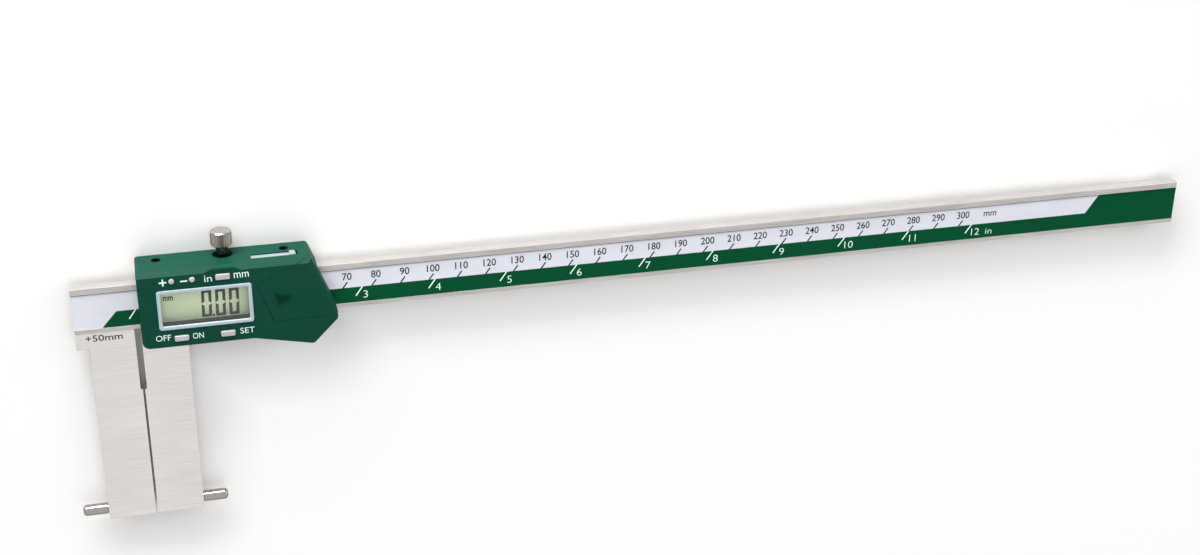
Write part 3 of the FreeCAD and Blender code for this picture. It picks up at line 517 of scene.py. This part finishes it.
class CALIPER_OT_points(bpy.types.Operator):
    """Two hardened measuring points with polished round ends"""
    bl_idname = "caliper.points"
    bl_label = "Measuring points"

    def execute(self, context):
        # Tool steel, hardened, ground round and lapped: a bright gloss with hardly a mark
        polished = plain_metal("lapped_tool_steel", "#A29E9B", 0.14, 2 * MM, 0.03)
        end_round, groove, arc_steps = 1.3 * MM, 0.12 * MM, 8
        half_closed_size, stand_out = 25 * MM, 8.7 * MM
        for node, body, side in (("fixed_point", "beam", -1), ("moving_point", "slider", 1)):
            low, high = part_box(node)
            radius = (high.z - low.z) / 2
            foot_radius = radius - 3 * groove
            tip = abs((low.x if side < 0 else high.x) - closing_x)
            reach = tip - half_closed_size + stand_out
            start = Vector((closing_x + side * (half_closed_size - stand_out), (low.y + high.y) / 2,
                            (low.z + high.z) / 2))
            profile = [(0, 0), (foot_radius, 0), (foot_radius, 2 * groove), (radius, 3 * groove)]
            for i in range(arc_steps + 1):
                angle = math.pi / 2 * i / arc_steps
                profile.append((radius - end_round + end_round * math.cos(angle),
                                reach - end_round + end_round * math.sin(angle)))
            profile.append((0, reach))
            mesh = bmesh.new()
            lathe(mesh, profile, start, (side, 0, 0))
            name = node.replace("_point", "_measuring_point")
            piece = new_piece(name, mesh, polished, body)
            settle(piece, 40.0)
            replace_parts(piece, node)
        return {"FINISHED"}


class CALIPER_OT_scale(bpy.types.Operator):
    """Printed scale foil: pale and green grounds, slanted lines and figures"""
    bl_idname = "caliper.scale"
    bl_label = "Scale"

    def execute(self, context):
        tints, size = colours(), sizes()
        # Polyester foil, screen-printed in flat colours: even and satin, the inks a little more matt
        foil = printed("pale_scale_foil", tints.foil, 0.42)
        green = printed("green_scale_foil", tints.foil_green, 0.38)
        ink = printed("dark_scale_ink", tints.ink)
        white = printed("white_scale_ink", tints.white_ink)

        # Places in millimetres along the beam from the closing plane, and across it from its middle
        low = label_low.z
        bottom, top = (label_low.y - middle_y) / MM, (label_high.y - middle_y) / MM
        left, right = (label_low.x - closing_x) / MM, (label_high.x - closing_x) / MM
        boundary = -1.05
        green_foot, green_start = (-11.3, bottom), (-6.2, boundary)
        slant_low, slant_high = (351.9, boundary), (356.8, top)

        pale = bmesh.new()
        outline = [(left, bottom), green_foot, green_start, slant_low, slant_high, (left, top)]
        prism(pale, corners_at(outline), low, label_z)
        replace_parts(new_piece("pale_scale_foil", pale, foil, "beam"), "scale_label")
        dark = bmesh.new()
        outline = [green_foot, (right, bottom), (right, top), slant_high, slant_low, green_start]
        prism(dark, corners_at(outline), low, label_z)
        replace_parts(new_piece("green_scale_foil", dark, green, "beam"), "scale_label")

        thick = size.print_thickness
        slant = math.radians(54)
        lines = {"Start": tuple(at(10.4, 0.0, label_z)), "Pitch": 10 * MM, "Count": 30, "Slant": slant,
                 "Line": (2.7 * MM, size.tick_width, thick)}
        piece = new_piece("millimetre_lines", bmesh.new(), ink, "beam")
        run_tree(piece, row_of_lines(ink), lines)
        lines = {"Start": tuple(at(-1.05, -2.7, label_z)), "Pitch": INCH * MM, "Count": 13, "Slant": slant,
                 "Line": (4.1 * MM, size.tick_width * 0.84, thick)}
        piece = new_piece("inch_lines", bmesh.new(), white, "beam")
        run_tree(piece, row_of_lines(white), lines)

        figures = bmesh.new()
        height = size.figure_height / MM
        right_of_line, level = 1.15, 3.2
        for value in range(10, 301, 10):
            words(figures, str(value), (value + right_of_line, level), 0, height, label_z, 0.012, 0.92)
        words(figures, "mm", (312.1, 2.75), 5.2, 1.8, label_z, 0.01)
        # Painted shade: a thin dark strip along the label's top edge, where the rail's edge shades it
        plate(figures, left, slant_high[0] - 0.2, top - 0.22, top - 0.02, label_z, label_z + thick / 2)
        new_piece("millimetre_figures_and_painted_edge_shade", figures, ink, "beam")
        figures = bmesh.new()
        right_of_line, half_digit, level, height = 0.35, 0.78, -4.05, 2.7
        for value in range(1, 13):
            middle = value * INCH + right_of_line + half_digit * len(str(value))
            words(figures, str(value), (middle, level), 0, height, label_z, -0.012, 1.1)
        words(figures, "in", (312.2, -4.3), 2.5, 2.2, label_z, -0.012)
        new_piece("inch_figures", figures, white, "beam")
        return {"FINISHED"}


class CALIPER_OT_jaw_print(bpy.types.Operator):
    """Etched note on the fixed jaw: what the points add to the reading"""
    bl_idname = "caliper.jaw_print"
    bl_label = "Jaw print"

    def execute(self, context):
        # Oxide that a laser burns into stainless steel: dark grey and matt
        etched = printed("laser_etched_oxide", linear("#3A3837"), 0.6)
        mesh = bmesh.new()
        words(mesh, "+50mm", (-11.1, -10.2), 12.2, 2.4, rail_z, 0.012)
        new_piece("jaw_print", mesh, etched, "beam")
        return {"FINISHED"}


class CALIPER_OT_housing(bpy.types.Operator):
    """Moulded housing and battery cover"""
    bl_idname = "caliper.housing"
    bl_label = "Housing"

    def execute(self, context):
        size = sizes()
        # ABS from a spark-eroded mould: a fine even grain that keeps the gloss low
        abs_plastic = moulded("spark_grained_abs", colours().green, 0.5, size.texture, 0.008 * MM, 0.05,
                              0.08)
        shell = dressed("display_housing", "moulded_housing", abs_plastic, "slider",
                        size.moulded_edge)
        # Painted shade down in the two bores: their walls are painted near black, as no light comes back
        # from them
        painted_bore_shade = moulded("painted_shade_in_bores", linear("#070908"), 0.6, 0.5 * MM, 0.002 * MM, 0.05,
                            0.1)
        low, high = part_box("gib_screws")
        reach = (high.z - low.z) / 2 + 0.3 * MM
        bores = [Vector((x, 0.0, (low.z + high.z) / 2)) for x in (low.x + reach, high.x - reach)]
        wall_start, upright = high.y - 1 * MM, 0.5

        def in_bore(centre, normal):
            beside = min((Vector((centre.x, 0.0, centre.z)) - bore).length for bore in bores)
            return centre.y > wall_start and abs(normal.y) < upright and beside < reach

        tint_faces(shell, painted_bore_shade, in_bore)
        cover = dressed("battery_cover", "battery_cover_with_arrow_ridges", abs_plastic,
                        "battery_cover", size.ridge_edge)
        # The same ABS, darker and more matt on the ridges: painted shade
        painted_ridge_shade = moulded("painted_shade_on_ridges", linear("#062C22"), 0.6, size.texture, 0.004 * MM, 0.05, 0.05)
        ridge_start = face_z + 0.03 * MM
        tint_faces(cover, painted_ridge_shade, lambda centre, normal: centre.z > ridge_start)
        return {"FINISHED"}


class CALIPER_OT_housing_print(bpy.types.Operator):
    """White words and signs beside the keys"""
    bl_idname = "caliper.housing_print"
    bl_label = "Housing print"

    def execute(self, context):
        # Pad-printed white ink: flat, satin and a little thicker than the foil's
        white = printed("pad_printed_white", colours().white_ink, 0.45)
        mesh = bmesh.new()
        for text, centre, wide, high in (
                ("in", (24.4, 11.6), 2.5, 2.3), ("mm", (35.3, 11.8), 4.9, 1.9),
                ("OFF", (8.2, -8.6), 4.9, 2.1), ("ON", (19.6, -8.9), 3.6, 2.1),
                ("SET", (35.9, -8.8), 4.8, 2.1)):
            words(mesh, text, centre, wide, high, face_z, -0.004)
        thick = sizes().print_thickness
        low, high = face_z - thick / 2, face_z + thick / 2
        plus_x, plus_y, arm = 9.7, 11.6, 1.25
        minus_x, minus_y, half, stroke = 16.5, 11.5, 1.15, 0.24
        quarter = [(stroke, -arm), (stroke, -stroke), (arm, -stroke)]
        outline = []
        for arm_number in range(4):
            outline += [(plus_x + x, plus_y + y) for x, y in quarter]
            quarter = [(-y, x) for x, y in quarter]
        prism(mesh, corners_at(outline), low, high)
        plate(mesh, minus_x - half, minus_x + half, minus_y - stroke, minus_y + stroke, low, high)
        new_piece("housing_words", mesh, white, "slider")
        return {"FINISHED"}


def segment_zero(mesh, x, y, width, height, stroke, lean, level):
    """Adds the six segments of a leaning zero, with its lower left corner at a place in millimetres."""
    gap, mitre, thick = 0.12, stroke * 0.7, sizes().print_thickness
    right, top, half = x + width, y + height, y + height / 2
    bars = (
        (x + gap, right - gap, top - stroke, top, "down"),
        (x + gap, right - gap, y, y + stroke, "up"),
        (x, x + stroke, half + gap, top - gap, "right"),
        (x, x + stroke, y + gap, half - gap, "right"),
        (right - stroke, right, half + gap, top - gap, "left"),
        (right - stroke, right, y + gap, half - gap, "left"))
    for x0, x1, y0, y1, inner in bars:
        cut = {side: mitre if side == inner else 0 for side in ("down", "up", "right", "left")}
        outline = [(x0 + cut["down"], y0 + cut["left"]), (x1 - cut["down"], y0 + cut["right"]),
                   (x1 - cut["up"], y1 - cut["right"]), (x0 + cut["up"], y1 - cut["left"])]
        prism(mesh, corners_at([(px + lean * (py - y), py) for px, py in outline]), level, level + thick)


class CALIPER_OT_display(bpy.types.Operator):
    """Bezel, clear window, display glass and its segments"""
    bl_idname = "caliper.display"
    bl_label = "Display"

    def execute(self, context):
        size, tints = sizes(), colours()
        # ABS from a polished mould: pale, smooth and faintly glossy
        pale = moulded("pale_bezel_abs", tints.bezel, 0.35, 0.8 * MM, 0.002 * MM, 0.03)
        dressed("display_bezel", "display_frame", pale, "slider", size.small_edge, 3)
        pane_edge = 0.05 * MM
        dressed("display_window", "clear_window", clear_acrylic(), "slider", pane_edge)
        dressed("lcd_panel", "display_glass", display_reflector(), "slider", pane_edge)
        # Twisted liquid crystal that lets no light through: dark grey and flat
        dark = printed("display_segments", tints.segments, 0.4)
        mesh = bmesh.new()
        digit_y, digit_width, digit_height, stroke, lean = -4.2, 3.35, 9.8, 1.0, 0.035
        for digit_x in (21.5, 26.1, 30.6):
            segment_zero(mesh, digit_x, digit_y, digit_width, digit_height, stroke, lean, lcd_z)
        point_left, point_right, point_height = 25.05, 25.8, 0.8
        plate(mesh, point_left, point_right, digit_y, digit_y + point_height, lcd_z,
              lcd_z + size.print_thickness)
        words(mesh, "mm", (10.9, 3.9), 3.3, 1.6, lcd_z, 0.035)
        new_piece("display_segments", mesh, dark, "slider")
        return {"FINISHED"}


class CALIPER_OT_keys(bpy.types.Operator):
    """Five keys and the data port's shutter"""
    bl_idname = "caliper.keys"
    bl_label = "Keys and shutter"

    def execute(self, context):
        size, tints = sizes(), colours()
        # ABS caps rubbed by fingers: pale grey with a satin gloss
        caps = moulded("satin_key_abs", tints.keys, 0.38, 0.6 * MM, 0.003 * MM, 0.03)
        for name in ("power", "set", "unit", "plus", "minus"):
            node = name + "_button"
            dressed(node, name + "_key", caps, node, size.small_edge, 3)
        # Acetal that slides without grease: a little waxy
        pale = moulded("satin_shutter_acetal", tints.shutter, 0.4, 0.6 * MM, 0.003 * MM, 0.03)
        dressed("data_port_cover", "port_shutter", pale, "data_port_cover", size.small_edge)
        return {"FINISHED"}


class CALIPER_OT_lock_screw(bpy.types.Operator):
    """Lock screw with a straight-knurled head"""
    bl_idname = "caliper.lock_screw"
    bl_label = "Lock screw"

    def execute(self, context):
        low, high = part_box("lock_screw")
        axis_x, axis_z = (low.x + high.x) / 2, (low.z + high.z) / 2
        radius = (high.x - low.x) / 2
        head, cap, edge = 5.45 * MM, 0.55 * MM, 0.22 * MM
        root = radius - 0.25 * MM
        thread, neck, neck_length = 1.5 * MM, 2.0 * MM, 4.0 * MM
        tall = high.y - low.y
        foot = tall - head
        # Turned steel in dark nickel plate, with painted shade on the shank and in the knurl's grooves; the
        # ridges are paler and the cap is bright
        dark = plain_metal("shank_steel_with_painted_shade", "#605C5A", 0.24, 0.8 * MM)
        knurled = plain_metal("knurled_dark_nickel", "#A0988F", 0.3, 0.5 * MM, 0.12)
        painted_groove_shade = plain_metal("painted_shade_in_knurl_grooves", "#3C3733", 0.45, 0.5 * MM, 0.12)
        bright = plain_metal("turned_bright_nickel", "#BBB7B4", 0.24, 1.2 * MM, 0.04)
        rings = [(0, 0), (thread - edge, 0), (thread, edge), (thread, foot - neck_length),
                 (neck, foot - neck_length), (neck, foot), (0, foot)]
        parts = (
            ("lock_screw_shank", dark, rings),
            ("lock_screw_core", painted_groove_shade, [(0, foot), (root - 2 * edge, foot), (root, foot + 2 * edge),
                                          (root, tall - cap), (0, tall - cap)]),
            ("lock_screw_cap", bright, [(0, tall - cap), (radius - edge / 2, tall - cap),
                                        (radius, tall - cap + edge / 2), (radius, tall - edge),
                                        (radius - edge, tall), (0, tall)]))
        for name, material, profile in parts:
            mesh = bmesh.new()
            lathe(mesh, profile, Vector((axis_x, low.y, axis_z)), (0, 1, 0))
            piece = new_piece(name, mesh, material, "lock_screw")
            settle(piece, 35.0)
            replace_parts(piece, "lock_screw")
        wide = sizes().knurl_width
        knurl_height = head - cap - 2.5 * edge
        knurl = new_piece("lock_screw_knurl", bmesh.new(), knurled, "lock_screw")
        run_tree(knurl, ring_of_ridges(knurled), {
            "Count": 30, "Radius": root, "Centre": (axis_x, high.y - cap - knurl_height / 2, axis_z),
            "Ridge": (wide, wide, knurl_height)})
        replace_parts(knurl, "lock_screw")
        return {"FINISHED"}


class CALIPER_OT_set_screws(bpy.types.Operator):
    """Two slotted set screws, down in the round holes of the top face"""
    bl_idname = "caliper.set_screws"
    bl_label = "Set screws"

    def execute(self, context):
        # Steel under black oxide and oil: nearly black, with a soft gloss
        oxide = plain_metal("black_oxide_set_screw", "#1E1C1B", 0.5, 0.8 * MM)
        dressed("gib_screws", "slotted_set_screws", oxide, "slider", sizes().screw_edge)
        return {"FINISHED"}


class CALIPER_OT_inner(bpy.types.Operator):
    """Finishes of the inner pieces, fasteners and contacts"""
    bl_idname = "caliper.inner"
    bl_label = "Inner pieces"

    def execute(self, context):
        # Screws of steel, in black oxide or in bright zinc plate
        dark_screw = plain_metal("black_oxide_steel", "#4A4745", 0.4, 0.8 * MM)
        bright_screw = plain_metal("zinc_plated_steel", "#C9CBCD", 0.3, 0.8 * MM)
        # Drawn brass strip, gold-flashed springs, pressed nickel-plated steel and etched copper
        brass = plain_metal("cartridge_brass", "#C9A45C", 0.3, 1.0 * MM)
        gold = plain_metal("gold_flash", "#D9B25A", 0.25, 0.6 * MM)
        cell = plain_metal("pressed_nickel_steel", "#D4D4D2", 0.24, 1.5 * MM)
        copper = plain_metal("copper_electrodes", "#B9805E", 0.35, 2.0 * MM)
        # Nylon with glass fibre is matt and black, and a cast epoxy drop is black and glossy
        nylon = moulded("glass_filled_nylon", linear("#16181A"), 0.5, 0.4 * MM, 0.01 * MM)
        resin = moulded("epoxy_drop", linear("#0C0C0D"), 0.25, 1.2 * MM, 0.002 * MM)
        finishes = {
            "end_stop_screws": dark_screw, "housing_screws": bright_screw, "board_screws": bright_screw,
            "gib_strip": brass, "lock_shoe": brass, "scale_grating": copper,
            "circuit_board": board_laminate(), "processor_chip": resin, "quartz_crystal": cell,
            "dome_switches": cell, "battery_cell": cell, "battery_minus_contact": gold,
            "battery_plus_contact": gold, "data_port_contacts": gold, "data_port_block": nylon,
            "lcd_holder": nylon, "zebra_strips": rubber_strips()}
        for name, material in finishes.items():
            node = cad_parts[name]
            node.data.materials.clear()
            node.data.materials.append(material)
        return {"FINISHED"}


class CALIPER_OT_stage(bpy.types.Operator):
    """Pale floor, soft lamps and the camera"""
    bl_idname = "caliper.stage"
    bl_label = "Stage"

    def execute(self, context):
        self.make_floor(context.scene)
        self.make_world(context.scene)
        self.make_lamps(context.scene)
        self.make_camera(context.scene)
        context.scene.view_settings.view_transform = "Standard"
        return {"FINISHED"}

    def make_floor(self, scene):
        """Square floor, half its width given in metres, just under the part."""
        half_width, drop = 4.0, 0.2 * MM
        mesh = bmesh.new()
        bmesh.ops.create_grid(mesh, x_segments=1, y_segments=1, size=half_width)
        data = bpy.data.meshes.new("floor")
        mesh.to_mesh(data)
        mesh.free()
        floor = bpy.data.objects.new("floor", data)
        scene.collection.objects.link(floor)
        floor.location.z = -drop
        data.materials.append(self.floor_material())

    def make_world(self, scene):
        """White room, darker towards the horizon where the part mirrors it."""
        world = bpy.data.worlds.new("studio")
        scene.world = world
        world.use_nodes = True
        tree = world.node_tree
        tree.nodes.clear()
        place = add(tree, "ShaderNodeTexCoord")
        direction = add(tree, "ShaderNodeSeparateXYZ", {"Vector": place.outputs["Generated"]})
        height = add(tree, "ShaderNodeMapRange", {"Value": direction.outputs["Z"], "From Max": 0.5,
                                                  "To Min": 0.12})
        strength = self.by_ray(tree, height.outputs["Result"], 0.35)
        sky = add(tree, "ShaderNodeBackground", {"Color": linear("#FFFFFF"), "Strength": strength})
        add(tree, "ShaderNodeOutputWorld", {"Surface": sky.outputs["Background"]})

    def make_lamps(self, scene):
        """Three soft lamps that face the part.

        Each has a place, a width and a height in metres, a power in watts, and shows in gloss or not."""
        for name, place, wide, tall, power, mirrored in (
                ("back_window", (-0.35, 1.0, 0.22), 0.9, 0.36, 26.0, True),
                ("front_softbox", (-0.1, -0.65, 1.05), 1.2, 1.2, 6.0, False),
                ("right_window", (0.9, 0.5, 0.5), 0.6, 0.6, 3.0, True)):
            lamp = bpy.data.lights.new(name, "AREA")
            lamp.shape = "RECTANGLE"
            lamp.size = wide
            lamp.size_y = tall
            lamp.energy = power
            holder = bpy.data.objects.new(name, lamp)
            holder.location = place
            holder.rotation_euler = Vector(place).to_track_quat("Z", "Y").to_euler()
            holder.visible_glossy = mirrored
            scene.collection.objects.link(holder)

    def make_camera(self, scene):
        """Camera at the photograph's viewing angle."""
        camera = bpy.data.cameras.new("camera")
        camera.lens = 54.63
        camera.sensor_width = 36.0
        camera.clip_start = 0.01
        view = bpy.data.objects.new("camera", camera)
        view.location = (-0.17377, 0.29589, 0.57618)
        view.rotation_euler = Euler([math.radians(a) for a in (-25.081, -14.758, 0.519)])
        scene.collection.objects.link(view)
        scene.camera = view

    def by_ray(self, tree, mirrored, lighting):
        """Strength of one straight from the camera, another in gloss and glass, and a third as lighting."""
        path = add(tree, "ShaderNodeLightPath").outputs
        bent = add(tree, "ShaderNodeMath", {0: path["Is Glossy Ray"], 1: path["Is Transmission Ray"]},
                   operation="MAXIMUM")
        indirect = add(tree, "ShaderNodeMix", {0: bent.outputs[0], 2: lighting, 3: mirrored},
                       data_type="FLOAT")
        return add(tree, "ShaderNodeMix", {0: path["Is Camera Ray"], 2: indirect.outputs[0], 3: 1.0},
                   data_type="FLOAT").outputs[0]

    def away_from(self, tree, low, high):
        """Distance on the floor from a box given by two corners."""
        kind = "ShaderNodeVectorMath"
        place = add(tree, "ShaderNodeTexCoord").outputs["Object"]
        middle, half = (low + high) / 2, (high - low) / 2
        centred = add(tree, kind, {0: place, 1: middle}, operation="SUBTRACT")
        folded = add(tree, kind, {0: centred.outputs[0]}, operation="ABSOLUTE")
        beyond = add(tree, kind, {0: folded.outputs[0], 1: (half.x, half.y, 1.0)}, operation="SUBTRACT")
        outside = add(tree, kind, {0: beyond.outputs[0], 1: (0.0, 0.0, 0.0)}, operation="MAXIMUM")
        return add(tree, kind, {0: outside.outputs[0]}, operation="LENGTH").outputs["Value"]

    def floor_material(self):
        """White paper sweep: keeps the object's shadow close by and fades to plain white further out."""
        material = bpy.data.materials.new("white_paper")
        material.use_nodes = True
        tree = material.node_tree
        tree.nodes.clear()
        jaw_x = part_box("fixed_point")[1].x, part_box("moving_point")[0].x
        jaws = Vector((min(jaw_x), beam_low.y, 0.0)), Vector((max(jaw_x), label_low.y, 0.0))
        near = self.away_from(tree, *jaws)
        for low, high in ((label_low, label_high), (housing_low, housing_high)):
            nearer = add(tree, "ShaderNodeMath", {0: near, 1: self.away_from(tree, low, high)},
                         operation="MINIMUM")
            near = nearer.outputs[0]
        shadow_reach, room_start, room_end = 32 * MM, 0.2, 1.0
        fade = add(tree, "ShaderNodeMapRange", {"Value": near, "From Max": shadow_reach, "To Min": 0.0,
                                                "To Max": 0.85})
        room = add(tree, "ShaderNodeMapRange", {"Value": near, "From Min": room_start,
                                                "From Max": room_end, "To Min": 1.0, "To Max": 0.0})
        share = add(tree, "ShaderNodeMath", {0: self.by_ray(tree, room.outputs["Result"], 0.0),
                                             1: fade.outputs["Result"]}, operation="MULTIPLY")
        paper = add(tree, "ShaderNodeBsdfDiffuse", {"Color": linear("#F2F1EF")})
        glow = add(tree, "ShaderNodeEmission", {"Color": linear("#FFFFFF"), "Strength": 1.0})
        mixed = add(tree, "ShaderNodeMixShader", {0: share.outputs[0], 1: paper.outputs["BSDF"],
                                                  2: glow.outputs["Emission"]})
        add(tree, "ShaderNodeOutputMaterial", {"Surface": mixed.outputs["Shader"]})
        return material


MAKERS = (CALIPER_OT_steel, CALIPER_OT_points, CALIPER_OT_scale, CALIPER_OT_jaw_print, CALIPER_OT_housing,
          CALIPER_OT_housing_print, CALIPER_OT_display, CALIPER_OT_keys, CALIPER_OT_lock_screw,
          CALIPER_OT_set_screws, CALIPER_OT_inner, CALIPER_OT_stage)


class CALIPER_PT_panel(bpy.types.Panel):
    """Lists the finish's sizes and colours and one button for each group of pieces"""
    bl_label = "Caliper"
    bl_idname = "CALIPER_PT_panel"
    bl_space_type = "VIEW_3D"
    bl_region_type = "UI"
    bl_category = "Caliper"

    def draw(self, context):
        for maker in MAKERS:
            self.layout.operator(maker.bl_idname)
        for group in (context.scene.caliper_sizes, context.scene.caliper_colours):
            box = self.layout.box()
            for name in group.__annotations__:
                box.prop(group, name)


CLASSES = (CaliperSizes, CaliperColours) + MAKERS + (CALIPER_PT_panel,)


def register():
    """Registers the classes and hangs the settings on the scene."""
    for item in CLASSES:
        bpy.utils.register_class(item)
    bpy.types.Scene.caliper_sizes = PointerProperty(type=CaliperSizes)
    bpy.types.Scene.caliper_colours = PointerProperty(type=CaliperColours)


def unregister():
    """Takes the settings and classes away again."""
    del bpy.types.Scene.caliper_colours
    del bpy.types.Scene.caliper_sizes
    for item in reversed(CLASSES):
        bpy.utils.unregister_class(item)


def main():
    """Makes every piece in order."""
    register()
    for maker in MAKERS:
        group, name = maker.bl_idname.split(".")
        getattr(getattr(bpy.ops, group), name)()


if __name__ == "__main__":
    main()
